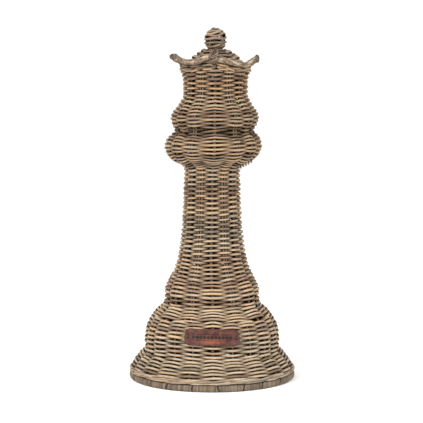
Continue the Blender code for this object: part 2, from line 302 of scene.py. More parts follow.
def bark_material(name):
    """Grey-beige bark of thick rattan, with fine fissures along it, pale scuffs and dark cut ends."""
    graph = Graph(name)
    shift = graph.math("MULTIPLY", graph.attribute("tint"), 19.0)
    fissures = graph.noise(fibre_place(graph, 110.0, 3.4, shift), 2.2, 5.0, 0.66)
    scuffs = graph.noise(fibre_place(graph, 60.0, 1.0, shift), 1.1, 4.0, 0.6)
    bark = graph.ramp(
        fissures,
        (0.34, (0.012, 0.007, 0.005)),
        (0.46, (0.082, 0.054, 0.034)),
        (0.56, (0.190, 0.136, 0.090)),
        (0.70, (0.350, 0.268, 0.190)),
    )
    scuffed = graph.mix(graph.span(scuffs, 0.50, 0.64, 0.0, 0.75), bark, (0.46, 0.370, 0.275, 1.0))
    pale = graph.mix(graph.attribute("shade"), scuffed, (0.020, 0.012, 0.008, 1.0))
    grain = graph.noise(graph.position(), 330.0, 4.0, 0.7)
    cut_wood = graph.ramp(
        grain,
        (0.40, (0.012, 0.008, 0.006)),
        (0.50, (0.060, 0.042, 0.032)),
        (0.62, (0.260, 0.210, 0.170)),
    )
    colour = graph.mix(graph.attribute("end"), pale, cut_wood)
    return graph.finish(colour, fissures, (0.72, 0.9), fissures, 0.6 * MM, 1.0, 0.12)


def peel_material(name):
    """Weathered peel wound round the foot: each turn has its own tone, dark at the strips' joints, with
    painted shade in the grooves between turns.
    """
    graph = Graph(name)
    tint = graph.attribute("tint")
    shift = graph.math("MULTIPLY", tint, 23.0)
    fibres = graph.noise(fibre_place(graph, 1300.0, 1.2, shift), 1.0, 4.0, 0.6)
    stains = graph.noise(graph.position(), 60.0, 4.0, 0.6)
    tone = graph.ramp(
        graph.math("ADD", tint, graph.span(fibres, 0.3, 0.7, -0.22, 0.22)),
        (0.0, (0.060, 0.043, 0.029)),
        (0.3, (0.125, 0.093, 0.063)),
        (0.6, (0.178, 0.136, 0.095)),
        (1.0, (0.245, 0.193, 0.140)),
    )
    stained = graph.mix(graph.span(stains, 0.35, 0.55, 0.45, 0.0), tone, (0.070, 0.051, 0.036, 1.0))
    # Dark joints between strips, and painted shade in the grooves between turns
    colour = graph.mix(graph.attribute("seam"), stained, (0.014, 0.008, 0.005, 1.0))
    return graph.finish(colour, fibres, (0.66, 0.86), fibres, 0.25 * MM, 0.8, 0.15)


def leather_material(name):
    """Oiled red-brown leather: mottled, rubbed orange low in the middle, dark in the tooling."""
    graph = Graph(name)
    maths = graph.math
    along = graph.attribute("along")
    up = graph.attribute("up")
    grain = graph.noise(graph.position(), 1300.0, 4.0, 0.6)
    mottle = graph.noise(graph.position(), 120.0, 5.0, 0.65)
    base = graph.ramp(
        mottle,
        (0.30, (0.026, 0.009, 0.007)),
        (0.48, (0.056, 0.019, 0.013)),
        (0.62, (0.086, 0.032, 0.022)),
        (0.75, (0.125, 0.055, 0.040)),
    )
    # The rubbed patch is an ellipse, wide and low, with its centre 7 mm under the middle
    across = maths("DIVIDE", along, 26.0 * MM)
    below = maths("DIVIDE", maths("ADD", up, 7.0 * MM), 5.5 * MM)
    squares = maths("ADD", maths("MULTIPLY", across, across), maths("MULTIPLY", below, below))
    patch = graph.span(squares, 0.1, 1.0, 0.95, 0.0)
    rub = maths("MULTIPLY", patch, graph.span(mottle, 0.3, 0.55, 0.3, 1.0))
    rubbed = graph.mix(rub, base, (0.170, 0.054, 0.027, 1.0))
    edge = maths("MULTIPLY", graph.attribute("edge"), 0.8)
    worn = graph.mix(edge, rubbed, (0.050, 0.024, 0.018, 1.0))
    # The tooling: a chain of small lozenges, each with a dot, between two fine lines
    cell = maths("DIVIDE", along, 6.2 * MM)
    slope = maths("MULTIPLY", maths("PINGPONG", maths("ADD", cell, 100.5), 0.5), 2.0)
    rise = maths("DIVIDE", maths("ABSOLUTE", up), 3.3 * MM)
    lozenge = maths("ADD", maths("SUBTRACT", 1.0, slope), rise)
    outline = maths("COMPARE", lozenge, 0.76, 0.27)
    dot = maths("LESS_THAN", lozenge, 0.28)
    line = maths("COMPARE", rise, 1.55, 0.10)
    pressed = maths("MAXIMUM", maths("MAXIMUM", outline, dot), line)
    inside = maths("LESS_THAN", maths("ABSOLUTE", along), 34.1 * MM)
    tool = maths("MULTIPLY", maths("MULTIPLY", pressed, inside), graph.attribute("face"))
    inked = graph.mix(maths("MULTIPLY", tool, 0.97), worn, (0.004, 0.003, 0.003, 1.0))
    relief = maths("SUBTRACT", maths("MULTIPLY", grain, 0.25), tool)
    return graph.finish(inked, grain, (0.42, 0.66), relief, 0.3 * MM, 0.8, 0.16)


def lace_material(name):
    """Dark waxed leather lace, creased across."""
    graph = Graph(name)
    creases = graph.noise(fibre_place(graph, 900.0, 0.8, 0.0), 1.4, 4.0, 0.6)
    colour = graph.ramp(
        creases,
        (0.32, (0.022, 0.010, 0.008)),
        (0.55, (0.075, 0.030, 0.022)),
        (0.75, (0.150, 0.070, 0.048)),
    )
    return graph.finish(colour, creases, (0.5, 0.72), creases, 0.15 * MM, 0.8, 0.5)


# ---- walls to weave on


class Wall:
    """A surface of revolution that strands are woven on, read along its own arc length."""

    def __init__(self, heights, radii):
        self.z = np.asarray(heights)
        self.r = np.asarray(radii)
        run_z = np.gradient(self.z)
        run_r = np.gradient(self.r)
        step = np.hypot(run_z, run_r)
        self.out_z = -run_r / step
        self.out_r = run_z / step
        pieces = np.hypot(np.diff(self.z), np.diff(self.r))
        self.s = running_sum(pieces)
        self.length = self.s[-1]
        # Rows keep their spacing where it is widest: at the surface over a bulge, inside in a crease
        inner_z = self.z - self.out_z * POLE_DEPTH
        inner_r = self.r - self.out_r * POLE_DEPTH
        inner = np.hypot(np.diff(inner_z), np.diff(inner_r))
        fan = np.clip(inner / np.maximum(pieces, 1e-9), 1.0, WIDEST_FAN)
        # and they are pushed closer where the wall slopes, which would otherwise open it to the light
        slope = (self.out_z * self.out_r)[1:]
        fan = np.maximum(fan, 1.0 + (1.0 - BULGES_EASED * on_bulges(self.z[1:])) * slope ** 2)
        self.rows = running_sum(pieces * fan)

    def at(self, s, depth):
        """Height and radius of points at arc length s and a depth under the surface."""
        z, r, out_z, out_r = (np.interp(s, self.s, v) for v in (self.z, self.r, self.out_z, self.out_r))
        return z - out_z * depth, r - out_r * depth

    def normal(self, s, angle):
        """Unit vectors out of the surface, as an array of rows."""
        return directions(np.interp(s, self.s, self.out_z), np.interp(s, self.s, self.out_r), angle)

    def height_at(self, s):
        return np.interp(s, self.s, self.z)

    def arc_at_height(self, height):
        return float(np.interp(height, self.z, self.s))

    def arc_at_row(self, level):
        """Arc length at a level counted in the rows' own measure."""
        return np.interp(level, self.rows, self.s)

    def row_at_arc(self, s):
        return float(np.interp(s, self.s, self.rows))


def on_bulges(height, reach=BULGES_REACH):
    """1 on the head's two bulges, fading to 0 above and below them."""
    return np.exp(-(((height - BULGES_HEIGHT) / reach) ** 4))


def clamp(values):
    """Values cut off below 0 and above 1."""
    return np.clip(values, 0.0, 1.0)


def running_sum(steps):
    return np.concatenate(([0.0], np.cumsum(steps)))


def soften(values, width):
    """Gaussian smoothing of evenly spaced values, width in samples."""
    reach = int(3 * width) + 1
    weights = np.exp(-0.5 * (np.arange(-reach, reach + 1) / width) ** 2)
    padded = np.pad(values, reach, mode="reflect", reflect_type="odd")
    return np.convolve(padded, weights / weights.sum(), mode="valid")


def cad_wall(names, softness):
    """The wall's outline over a pole, cast from the CAD's own skins at the front."""
    corners = []
    faces = []
    for name in names:
        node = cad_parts[name]
        first = len(corners)
        corners.extend(node.matrix_world @ vertex.co for vertex in node.data.vertices)
        faces.extend([first + k for k in face.vertices] for face in node.data.polygons)
    skins = BVHTree.FromPolygons(corners, faces)
    low = min(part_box(name)[0][2] for name in names) + 0.1 * MM
    high = max(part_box(name)[1][2] for name in names) - 0.1 * MM
    step = 0.25 * MM
    heights = np.arange(low, high, step)
    ahead = Vector((0.0, 1.0, 0.0))
    radii = []
    for height in heights:
        start = Vector((float(lean(height)) + 1e-5, -1.0, float(height)))
        hit = skins.ray_cast(start, ahead)[0]
        radii.append(-hit.y if hit is not None else 0.0)
    # The bands stop 0.3 mm short of each other, so each gap takes the larger radius beside it
    radii = np.array(radii)
    filled = np.max([np.roll(radii, shift) for shift in (-2, -1, 0, 1, 2)], axis=0)
    filled[:2] = filled[2]
    filled[-2:] = filled[-3]
    return Wall(heights, soften(filled, softness / step))


def smooth_share(values, low, high):
    """How far values have gone from low to high, from 0 to 1 and with soft ends."""
    share = clamp((values - low) / (high - low))
    return share * share * (3 - 2 * share)


def lean(height):
    """How far towards +X the axis lies at a height."""
    return LEAN * smooth_share(height, LEAN_FROM, LEAN_TO)


def to_points(z, r, angle, lateral=0.0):
    """Rows of x, y, z round the leaning axis; angle 0 is the front, and lateral is a step sideways."""
    x = np.sin(angle) * r + np.cos(angle) * lateral + lean(z)
    y = -np.cos(angle) * r + np.sin(angle) * lateral
    return np.stack((x, y, z + 0.0 * x), axis=1)


def directions(rise, out, angle):
    """Rows of vectors from their upward and their outward parts at each angle."""
    return np.stack((np.sin(angle) * out, -np.cos(angle) * out, rise + 0.0 * angle), axis=1)


# ---- tubes


def catmull_rom(rows, place):
    """A smooth curve through evenly spaced rows of values, at places counted in rows."""
    k = place.astype(int)
    t = (place - k).reshape(-1, *[1] * (rows.ndim - 1))
    a, b, c, d = rows[k - 1], rows[k], rows[k + 1], rows[k + 2]
    return b + 0.5 * t * (c - a + t * (2 * a - 5 * b + 4 * c - d + t * (3 * (b - c) + d - a)))


def wander(rng, count, knots, size):
    """A smooth random line of count values: knots random values with a smooth curve between them."""
    values = rng.normal(0.0, size, max(int(knots), 2) + 4)
    return catmull_rom(values, np.linspace(1.0, len(values) - 3.001, count))


def distance_along(points):
    return running_sum(np.linalg.norm(np.diff(points, axis=0), axis=1))


def unit(vectors):
    """Vectors, in rows, at length 1."""
    return vectors / np.linalg.norm(vectors, axis=-1, keepdims=True)


def grid_faces(rings, sides, closed):
    """Quads between rings of vertices: here, beside, above beside and above."""
    here = np.arange(rings if closed else rings - 1)[:, None] * sides
    above = (here + sides) % (rings * sides)
    j = np.arange(sides)
    beside = (j + 1) % sides
    return np.stack((here + j, here + beside, above + beside, above + j), axis=2).reshape(-1, 4)


def tube(points, out, radius, sides=STRAND_SIDES, flat=1.0, closed=False, **marks):
    """A tube along points: its vertices, its faces and its marks, which are attributes by name.

    out points away from the wall, and a mark has one value, or one for each point.
    """
    count = len(points)
    if closed:
        ahead = np.roll(points, -1, axis=0) - np.roll(points, 1, axis=0)
    else:
        ahead = np.gradient(points, axis=0)
    ahead = unit(ahead)
    out = unit(out - ahead * np.sum(out * ahead, axis=1)[:, None])
    side = np.cross(ahead, out)
    # The turns start at the inner side, so that the jump in their values lies out of sight
    turns = np.arange(sides) * math.tau / sides - math.pi
    radius = np.broadcast_to(radius, count)
    ring = (
        out[:, None, :] * (np.cos(turns) * flat)[None, :, None]
        + side[:, None, :] * np.sin(turns)[None, :, None]
    )
    vertices = (points[:, None, :] + ring * radius[:, None, None]).reshape(-1, 3)
    faces = grid_faces(count, sides, closed).tolist()
    if not closed:
        faces.append(list(range(sides))[::-1])
        faces.append([(count - 1) * sides + j for j in range(sides)])
    return vertices, faces, {"along": distance_along(points), "around": np.tile(turns, count), **marks}


def marked_mesh(name, vertices, faces, marks, material):
    """A smooth mesh with a point attribute for each mark."""
    mesh = bpy.data.meshes.new(name)
    mesh.from_pydata(vertices.tolist(), [], faces)
    for key, values in marks.items():
        layer = mesh.attributes.new(key, "FLOAT", "POINT")
        layer.data.foreach_set("value", values.astype(np.float32))
    mesh.shade_smooth()
    mesh.materials.append(material)
    return mesh


def place_piece(mesh, slot, *nodes):
    """Make a mesh a piece, with its body and the CAD nodes it stands for. The slot is not used."""
    item = bpy.data.objects.new(mesh.name, mesh)
    link(item)
    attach(item, "root")
    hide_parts(*nodes)


def make_piece(name, tubes, material, slot, *nodes):
    """One piece from several tubes."""
    faces = []
    first = 0
    columns = {key: [] for key in tubes[0][2]}
    for vertices, own_faces, marks in tubes:
        faces.extend([first + corner for corner in face] for face in own_faces)
        total = len(vertices)
        first += total
        for key, value in marks.items():
            value = np.asarray(value, dtype=float)
            if value.ndim == 1:
                value = np.repeat(value, total // len(value))
            columns[key].append(np.broadcast_to(value, total))
    vertices = np.concatenate([part[0] for part in tubes])
    marks = {key: np.concatenate(column) for key, column in columns.items()}
    place_piece(marked_mesh(name, vertices, faces, marks, material), slot, *nodes)


# ---- the weave


class Sway:
    """A slow unevenness shared by neighbouring rows, so that they bend together and never cross."""

    def __init__(self, rng, size, waves=7, rounds=4, height_scale=70.0 * MM):
        self.parts = []
        for _ in range(waves):
            turns = int(rng.integers(0, rounds + 1))
            climb = rng.normal(0.0, 1.0) * math.tau / (2 * height_scale)
            self.parts.append((turns, climb, rng.uniform(0.0, math.tau), size / math.sqrt(waves)))

    def at(self, s, angle):
        return sum(
            size * np.sin(turns * angle + climb * s + start) for turns, climb, start, size in self.parts
        )


def cut_lengths(rng, points, radius, lengths, knot_spacing, uneven):
    """Split a long strand into lengths of cane: a tint and a thickness for each point."""
    metres = distance_along(points)
    tint = np.empty(len(metres))
    thick = np.empty(len(metres))
    place = 0.0
    while place < metres[-1]:
        length = rng.uniform(*lengths)
        chosen = (metres >= place) & (metres <= place + length)
        tint[chosen] = rng.uniform(0.02, 0.98)
        thick[chosen] = radius * (1.0 + rng.normal(0.0, 0.085))
        place += length
    thick = soften(thick, 2.0)
    return tint, thick * (1.0 + wander(rng, len(thick), metres[-1] / knot_spacing, uneven))


def drift(z, angle):
    """How far round the wall the upright cane at an angle has strayed, at height z."""
    slow = math.radians(1.0) * np.sin(z / (48 * MM))
    quick = math.radians(0.5) * np.sin(z / (21 * MM) + 1.0)
    # On the head's two bulges the front pole stands alone, with its neighbours pushed away from it
    ahead = (np.asarray(angle) + math.pi) % math.tau - math.pi
    pushed = np.where(np.abs(ahead) < math.tau * 2 / POLES, np.sin(POLES / 2 * ahead), 0.0)
    furthest = math.radians(4.6)
    return slow + quick + furthest * on_bulges(z, 54 * MM) * pushed


def unstrayed(z, angle):
    """The position round the wall that the canes now at an angle had before they strayed."""
    return angle - drift(z, angle - drift(z, angle))


def wave(positions, angle, first=0.0):
    """1 where a strand is over, -1 where it is under, alternating from one position to the next."""
    return np.cos(positions / 2 * (angle - first))


def every_step(turns):
    """Evenly spread values from nought to a number of turns."""
    return np.linspace(0.0, turns, int(turns * STEPS_PER_TURN) + 1)


def strand_path(wall, rng, sway, turn, level, positions, depth_at, loose=1.0):
    """One strand that winds up a wall from its back, at the depth that depth_at gives round it.

    level is the height of each point, in the rows' own measure.
    """
    count = len(turn)
    knots = (turn[-1] - turn[0]) * positions
    angle = math.pi + turn * math.tau
    s = wall.arc_at_row(level)
    height = wall.height_at(s)
    bulge = on_bulges(height)
    full = depth_at(unstrayed(height, angle), bulge)
    depth = POLE_DEPTH + (full - POLE_DEPTH) * (1.0 - BULGES_CALM * bulge)
    slack = wander(rng, count, knots, 0.2 * MM * loose)
    s = s + sway.at(s, angle) + wander(rng, count, knots * 0.8, 0.37 * MM * loose) * (1.0 - 0.3 * bulge)
    z, r = wall.at(s, depth + slack)
    points = to_points(z, r, angle)
    return points, wall.normal(s, angle), full + slack


def wall_strands(wall):
    """Turn and level along each strand of the wall, with its letter, positions and depth.

    The foot has an odd number of positions, so one strand alternates by itself from round to round.
    Above it there is an even number, and two strands chase each other. They start at the back, where
    the first round of the upper one is parted from the last round of the foot to let the other in.
    """
    beside = WEAVER_RADIUS - PRESSED_IN
    over_pole = POLE_DEPTH - POLE_RADIUS - beside
    over_stake = STAKE_DEPTH - STAKE_RADIUS - beside
    under_pole = POLE_DEPTH + POLE_RADIUS + beside
    under_stake = STAKE_DEPTH + STAKE_RADIUS + beside

    def depth_in_foot(angle, bulge):
        at_pole = clamp((np.cos(POLES * angle) + 0.5) / 1.5)
        near = over_stake + (over_pole - over_stake) * at_pole
        far = under_stake + (under_pole - under_stake) * at_pole
        return far + (near - far) * (0.5 + 0.5 * wave(OPENED_POSITIONS, angle))

    def chasing(at_pole, at_stake):
        def depth(angle, bulge):
            over = wave(POSITIONS, angle)
            # On the bulges the strands bend sharply round the front pole
            peaked = 1.0 - 2.0 * np.arccos(np.clip(over, -1.0, 1.0)) / math.pi
            ahead = np.abs((angle + math.pi) % math.tau - math.pi) < math.pi / POSITIONS
            over = over + np.where(ahead, bulge, 0.0) * (peaked - over)
            return at_stake + (at_pole - at_stake) * (0.5 + 0.5 * over)

        return depth

    first = wall.row_at_arc(6.0 * MM)
    opened = wall.row_at_arc(wall.arc_at_height(OPENED_BELOW))
    foot_turns = 2 * round((opened - first) / (2 * ROW_PITCH))
    turn = every_step(foot_turns)
    lone = first + (opened - first) * turn / foot_turns
    yield "a", turn, lone, OPENED_POSITIONS, depth_in_foot

    turn = every_step((wall.rows[-1] - 1.0 * MM - opened) / (2 * ROW_PITCH) - 0.25)
    upper = opened + ROW_PITCH * (2 * turn + 0.5 * smooth_share(turn, 0.0, 0.25))
    yield "b", turn, upper, POSITIONS, chasing(over_pole, under_stake)

    last_of_lone = opened + ROW_PITCH * (turn - 1)
    later = ROW_PITCH * (1.25 - 0.25 * smooth_share(turn, 1.0, 1.25))
    gap = np.where(turn < 1.0, (upper - last_of_lone) / 2, later)
    chosen = turn > 0.15
    yield "c", turn[chosen], (upper - gap)[chosen], POSITIONS, chasing(under_pole, over_stake)


def weave_wall(wall, material):
    """The strands of the whole wall, cut into one piece for each band and strand."""
    rng = np.random.default_rng(SEED)
    sway = Sway(rng, 1.0 * MM)
    ends = [wall.arc_at_height(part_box(name)[1][2]) for name in BANDS[:-1]] + [wall.length]
    swing = POLE_RADIUS + WEAVER_RADIUS - PRESSED_IN
    for letter, turn, level, positions, depth_at in wall_strands(wall):
        points, out, depth = strand_path(wall, rng, sway, turn, level, positions, depth_at)
        tint, thick = cut_lengths(rng, points, WEAVER_RADIUS, (0.25, 0.9), 30 * MM, 0.05)
        # How far a strand lies out over the canes; the material paints shade on the parts that pass behind
        # them
        show = clamp(0.5 - (depth - POLE_DEPTH) / (2 * swing))
        # Behind the poles and stakes the strands spread, which closes the wall to the light
        thick = thick * (1.0 + HIDDEN_SPREAD * (1.0 - show))
        s = wall.arc_at_row(level)
        height = wall.height_at(s)
        # The bulges are woven with thinner strands, and the waist between them is in deep shade
        thick = thick * (1.0 - BULGES_THINNER * on_bulges(height))
        show = show * (1.0 - WAIST_SHADE * np.exp(-(((height - WAIST_HEIGHT) / WAIST_REACH) ** 2)))
        low = 0.0
        for name, high in zip(BANDS, ends):
            chosen = np.flatnonzero((s >= low) & (s <= high))
            low = high
            if len(chosen) < 3:
                continue
            part = slice(chosen[0], min(chosen[-1] + 2, len(points)))
            marks = {"tint": tint[part], "show": show[part]}
            strand = tube(points[part], out[part], thick[part], flat=0.95, **marks)
            make_piece(f"{name}_strand_{letter}", [strand], material, "weave", name)


def make_poles(wall, rng):
    """The thick poles that the strands pass over and under."""
    count = 260
    s = np.linspace(0.0, wall.arc_at_height(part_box("frame_pole_1")[1][2]), count)
    z, r = wall.at(s, POLE_DEPTH)
    poles = []
    for k in range(POLES):
        angle = k * math.tau / POLES
        strayed = angle + drift(wall.height_at(s), angle)
        points = to_points(z, r, strayed, wander(rng, count, 14, 0.25 * MM))
        radius = POLE_RADIUS * (1.0 + wander(rng, count, 30, 0.02))
        tint = rng.uniform(0.1, 0.6)
        # The poles are painted well into shade all along their length
        poles.append(tube(points, wall.normal(s, strayed), radius, 14, tint=tint, show=0.30))
    names = [f"frame_pole_{k + 1}" for k in range(POLES)]
    make_piece("frame_poles", poles, cane_material("pole_cane", 0.25), "frame_cane", *names)


def make_stakes(wall, roof, rng):
    """The pairs of thin stakes, which leave the wall at its top and run up the roof."""
    leave = wall.arc_at_height(518 * MM)
    wall_z, wall_r = wall.at(np.linspace(0.0, leave, 240), STAKE_DEPTH)
    roof_z, roof_r = roof.at(np.linspace(0.0, roof.length, 40), 5.7 * MM)
    z = np.concatenate((wall_z, roof_z))
    r = np.concatenate((wall_r, roof_r))
    metres = running_sum(np.hypot(np.diff(z), np.diff(r)))
    even_steps = np.linspace(0.0, metres[-1], 420)
    z = soften(np.interp(even_steps, metres, z), 2.5)
    r = soften(np.interp(even_steps, metres, r), 2.5)
    run_z, run_r = np.gradient(z), np.gradient(r)
    opened = 1.0 - smooth_share(z, *OPENING)
    stakes = []
    for k in range(POLES):
        for side in (-1, 1):
            angle = (k + 0.5) * math.tau / POLES + side * opened * math.pi / OPENED_POSITIONS
            angle = angle + drift(z, angle)
            lateral = side * TWIN_SPREAD * (1.0 - opened) + wander(rng, len(z), 22, 0.2 * MM)
            points = to_points(z, r, angle, lateral)
            out = directions(-run_r, run_z, angle)
            radius = STAKE_RADIUS * (1.0 + wander(rng, len(z), 30, 0.03))
            # The stakes are painted half into shade
            stakes.append(tube(points, out, radius, tint=rng.uniform(0.25, 0.75), show=0.42))
    names = [f"stake_{k + 1}{letter}" for k in range(POLES) for letter in "ab"]
    make_piece("twin_stakes", stakes, cane_material("stake_cane_looks"), "stake_cane", *names)


def weave_roof(roof, material):
    """The roof inside the crown: two loose strands over and under the seven pairs of stakes."""
    rng = np.random.default_rng(SEED + 2)
    sway = Sway(rng, 1.1 * MM, waves=6, rounds=5, height_scale=20 * MM)
    pitch = 3.0 * MM
    over = 1.6 * MM
    under = 6.2 * MM
    strands = []
    for swing, lead in ((over - under, 0.0), (under - over, pitch)):
        start = 1.0 * MM + lead
        turn = every_step((roof.rows[-1] - start - 2.0 * MM) / (2 * pitch))

        def depth_at(angle, bulge, swing=swing):
            return (over + under) / 2 + swing / 2 * wave(POLES, angle, math.pi / POLES)

        level = start + 2 * pitch * turn
        points, out, depth = strand_path(roof, rng, sway, turn, level, POLES, depth_at, 1.8)
        tint, thick = cut_lengths(rng, points, 1.7 * MM, (0.1, 0.3), 30 * MM, 0.07)
        # Painted shade that deepens as a strand goes in under the stakes
        show = clamp(1.0 - (depth - over) / (11 * MM))
        strands.append(tube(points, out, thick, tint=tint, show=show))
    # Round the stem the last strand goes on as a flat coil, under the ball
    turn = every_step(4.5)
    angle = turn * math.tau
    across = (16.8 - 1.7 * turn) * MM
    height = 561.5 * MM + 1.2 * MM * np.cos(POLES / 2 * angle) + wander(rng, len(turn), 30, 0.2 * MM)
    coil = to_points(height, across, angle)
    # The coil is painted partly into shade
    strands.append(tube(coil, directions(1.0, 0.0, angle), 1.6 * MM, tint=0.4, show=0.6))
    make_piece("roof_strands", strands, material, "weave", "roof_weave")


# ---- foot


def make_foot():
    """The ground ring's peel wrap: turn beside turn, with a joint at each end of a strip."""
    rng = np.random.default_rng(SEED + 3)
    low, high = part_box("rim_wrap")
    outer = high[1]
    half = (high[2] - low[2]) / 2
    turns = 430
    per_turn = 5
    count = turns * per_turn
    sides = 22
    angle = np.arange(count) * math.tau / count
    section = np.arange(sides) * math.tau / sides - math.pi
    out, up = squarish(section, 2 / 2.8)

    strips = 20
    starts = (np.arange(strips) + 0.15 + rng.uniform(-0.2, 0.2, strips)) / strips * math.tau
    slant = rng.uniform(-2.6, 3.4, strips) * MM / outer
    curl = rng.uniform(0.0, 3.0, strips) * MM / outer
    around = angle[:, None]
    joint = np.zeros((count, sides))
    lift = np.zeros((count, sides))
    strip_lift = rng.uniform(-0.25, 0.1, strips) * MM
    for k in range(strips):
        line = starts[k] + slant[k] * up + curl[k] * up ** 4
        away = (around - line + math.pi) % math.tau - math.pi
        joint = np.maximum(joint, np.exp(-(away * outer / (0.95 * MM)) ** 2))
        after = (away * outer > 0) & (away < math.tau / strips * 1.3)
        lift[after] = strip_lift[k]
    groove = np.cos(np.arange(count) % per_turn / per_turn * math.tau) * 0.5 + 0.5
    turn_lift = np.repeat(rng.normal(0.0, 0.12 * MM, turns), per_turn)
    push = -0.35 * MM * groove[:, None] + turn_lift[:, None] + lift - 1.4 * MM * joint
    push = push * (1.0 - 0.6 * (up < -0.8))
    size = half - 0.25 * MM + push
    r = outer - half + out * size
    z = low[2] + half + up * np.minimum(size, half)
    vertices = np.stack((np.sin(around) * r, -np.cos(around) * r, z), axis=2).reshape(-1, 3)
    # The rings go round the other way than a tube's, so their quads are turned over
    faces = grid_faces(count, sides, True)[:, [0, 3, 2, 1]].tolist()
    marks = {
        "along": angle * outer,
        "around": np.tile(section, count),
        "tint": clamp(np.repeat(rng.normal(0.5, 0.2, turns), per_turn)),
        # Dark at the joints between strips, and painted shade in the groove between turns
        "seam": clamp(joint * 1.25 + 0.45 * groove[:, None] ** 2).reshape(-1),
    }
    wrap = (vertices, faces, marks)
    make_piece("foot_peel_wrap", [wrap], peel_material("foot_peel"), "rim_peel", "rim_wrap", "ground_hoop")


def make_border(wall, material):
    """The border above the foot: the stakes' ends laid along it, each rising over the ones before."""
    rng = np.random.default_rng(SEED + 4)
    strands = 19
    count = 110
    share = np.linspace(0.0, 1.0, count)
    # A strand dives behind its neighbours at its start, and deeper at its end
    tuck = clamp(1 - share / 0.16) ** 2 * 5 + clamp((share - 0.84) / 0.16) ** 2 * 9
    rope = []
    for k in range(strands):
        reach = math.radians(rng.uniform(52, 66))
        angle = (k + rng.uniform(-0.25, 0.25)) / strands * math.tau + share * reach
        s = 0.6 * MM + rng.uniform(8.0, 9.6) * MM * share ** 1.15 + wander(rng, count, 8, 0.55 * MM)
        dive = 2.6 * MM * np.sin(math.pi * share * 3 + k) ** 2 * rng.uniform(0.3, 1.0)
        depth = WEAVER_RADIUS + dive + tuck * MM
        s = np.clip(s, 0.0, None)
        z, r = wall.at(s, depth)
        points = to_points(np.maximum(z, 14.0 * MM), r, angle)
        radius = 2.1 * MM * rng.uniform(0.88, 1.1) * (1.0 + wander(rng, count, 14, 0.06))
        radius = radius * (1.0 - 0.4 * share ** 6)
        # Painted shade that deepens as a strand dives behind its neighbours
        show = np.clip(1.05 - (depth - WEAVER_RADIUS) / (8 * MM), 0.2, 1.0)
        tint = rng.uniform(0.0, 1.0)
        rope.append(tube(points, wall.normal(s, angle), radius, 10, tint=tint, show=show))
    make_piece("border_rope", rope, material, "weave", "border_weave")


def squarish(turns, power):
    """The cosine and sine of a circle, pulled out towards a square."""
    return [np.sign(part) * np.abs(part) ** power for part in (np.cos(turns), np.sin(turns))]


def wander_round(rng, count, waves, size):
    """A smooth random line that closes on itself."""
    turn = np.arange(count) / count * math.tau
    total = np.zeros(count)
    for _ in range(8):
        total += np.sin(int(rng.integers(2, waves)) * turn + rng.uniform(0, math.tau)) * size / 2
    return total


def make_hoops():
    """The hoops inside the poles, round canes with an uneven skin."""
    rng = np.random.default_rng(SEED + 5)
    hoops = []
    count = 160
    angle = np.arange(count) * math.tau / count
    for name in HOOPS:
        low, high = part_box(name)
        half = (high[2] - low[2]) / 2
        radius = (high[1] - low[1]) / 2 - half
        points = to_points(np.full(count, (low[2] + high[2]) / 2), np.full(count, radius), angle)
        thick = half * (1.0 + wander_round(rng, count, 20, 0.01))
        # The hoops are painted partly into shade, inside the poles
        marks = {"tint": rng.uniform(0.1, 0.6), "show": 0.5}
        hoops.append(tube(points, directions(0.0, 1.0, angle), thick, 12, closed=True, **marks))
    make_piece("frame_hoops", hoops, cane_material("hoop_cane", 0.2), "frame_cane", *HOOPS)


# ---- crown

# Centre lines of the crown rods, as degrees round the crown, radius and height in millimetres: an
# end, the sag in the middle, and the other end mirrored. An end is a horn or is tucked under one.
ROD_HORN = ((0.5, 74.0, 551.0), (3.5, 68.5, 547.2), (9.0, 64.0, 544.0), (18.0, 61.5, 541.0))
ROD_TUCKED = ((3.5, 61.0, 546.0), (15.0, 60.5, 541.5))
ROD_SAG = ((29.0, 60.0, 537.5), (45.0, 60.0, 536.2), (61.0, 60.0, 537.5))
ROD_SPAN = 90.0
# For each rod its two ends, and how much higher than the route it lies at its start, sag and end
RODS = (
    (ROD_TUCKED, ROD_HORN, (3.0, 0.0, -1.0)),
    (ROD_TUCKED, ROD_HORN, (-4.0, 0.5, 1.0)),
    (ROD_TUCKED, ROD_TUCKED, (0.0, 0.5, 0.0)),
    (ROD_HORN, ROD_HORN, (2.0, 4.5, 6.0)),
)
# The horns are sawn off askew: which way each cut faces, by rod and by its end
HORN_CUTS = {
    (0, 1): (0.9, -0.35, 0.25),
    (1, 1): (0.1, 0.9, 0.45),
    (3, 0): (-0.55, -0.55, 0.65),
    (3, 1): (-0.35, -0.85, 0.3),
}
ROD_RADIUS = 5.5 * MM


def smooth_route(points, count):
    """A Catmull-Rom curve through a few points, as count evenly spread rows."""
    rows = np.asarray(points, dtype=float)
    rows = np.vstack((2 * rows[0] - rows[1], rows, 2 * rows[-1] - rows[-2]))
    return catmull_rom(rows, np.linspace(1.0, len(rows) - 2.0001, count))


def rod_line(k, count):
    """Angle, radius and height along the centre line of crown rod k."""
    first_end, last_end, (start_lift, sag_lift, end_lift) = RODS[k]
    mirrored = [(ROD_SPAN - degrees, radius, height) for degrees, radius, height in last_end]
    rows = []
    for degrees, radius, height in (*first_end, *ROD_SAG, *mirrored[::-1]):
        from_middle = 2 * degrees / ROD_SPAN - 1
        side_lift = start_lift if from_middle < 0 else end_lift
        lift = sag_lift + (side_lift - sag_lift) * abs(from_middle)
        rows.append((math.radians(ROD_SPAN * k + degrees), radius * MM, (height + lift) * MM))
    return smooth_route(rows, count).T


def saw_end(vertices, points, end, inner, facing):
    """Pull the vertices near one end of a rod back to a flat cut that faces a given way."""
    facing = unit(np.array(facing))
    ahead = unit(points[end] - points[inner])
    sawn_off = 1.6 * MM
    beyond = (vertices - points[end]) @ facing + sawn_off
    near = np.linalg.norm(points - points[end], axis=1) < 3 * ROD_RADIUS
    pull = np.where(near[:, None], np.maximum(beyond, 0.0), 0.0)
    pull[end] = beyond[end]
    return vertices - pull[:, :, None] * ahead / (ahead @ facing)


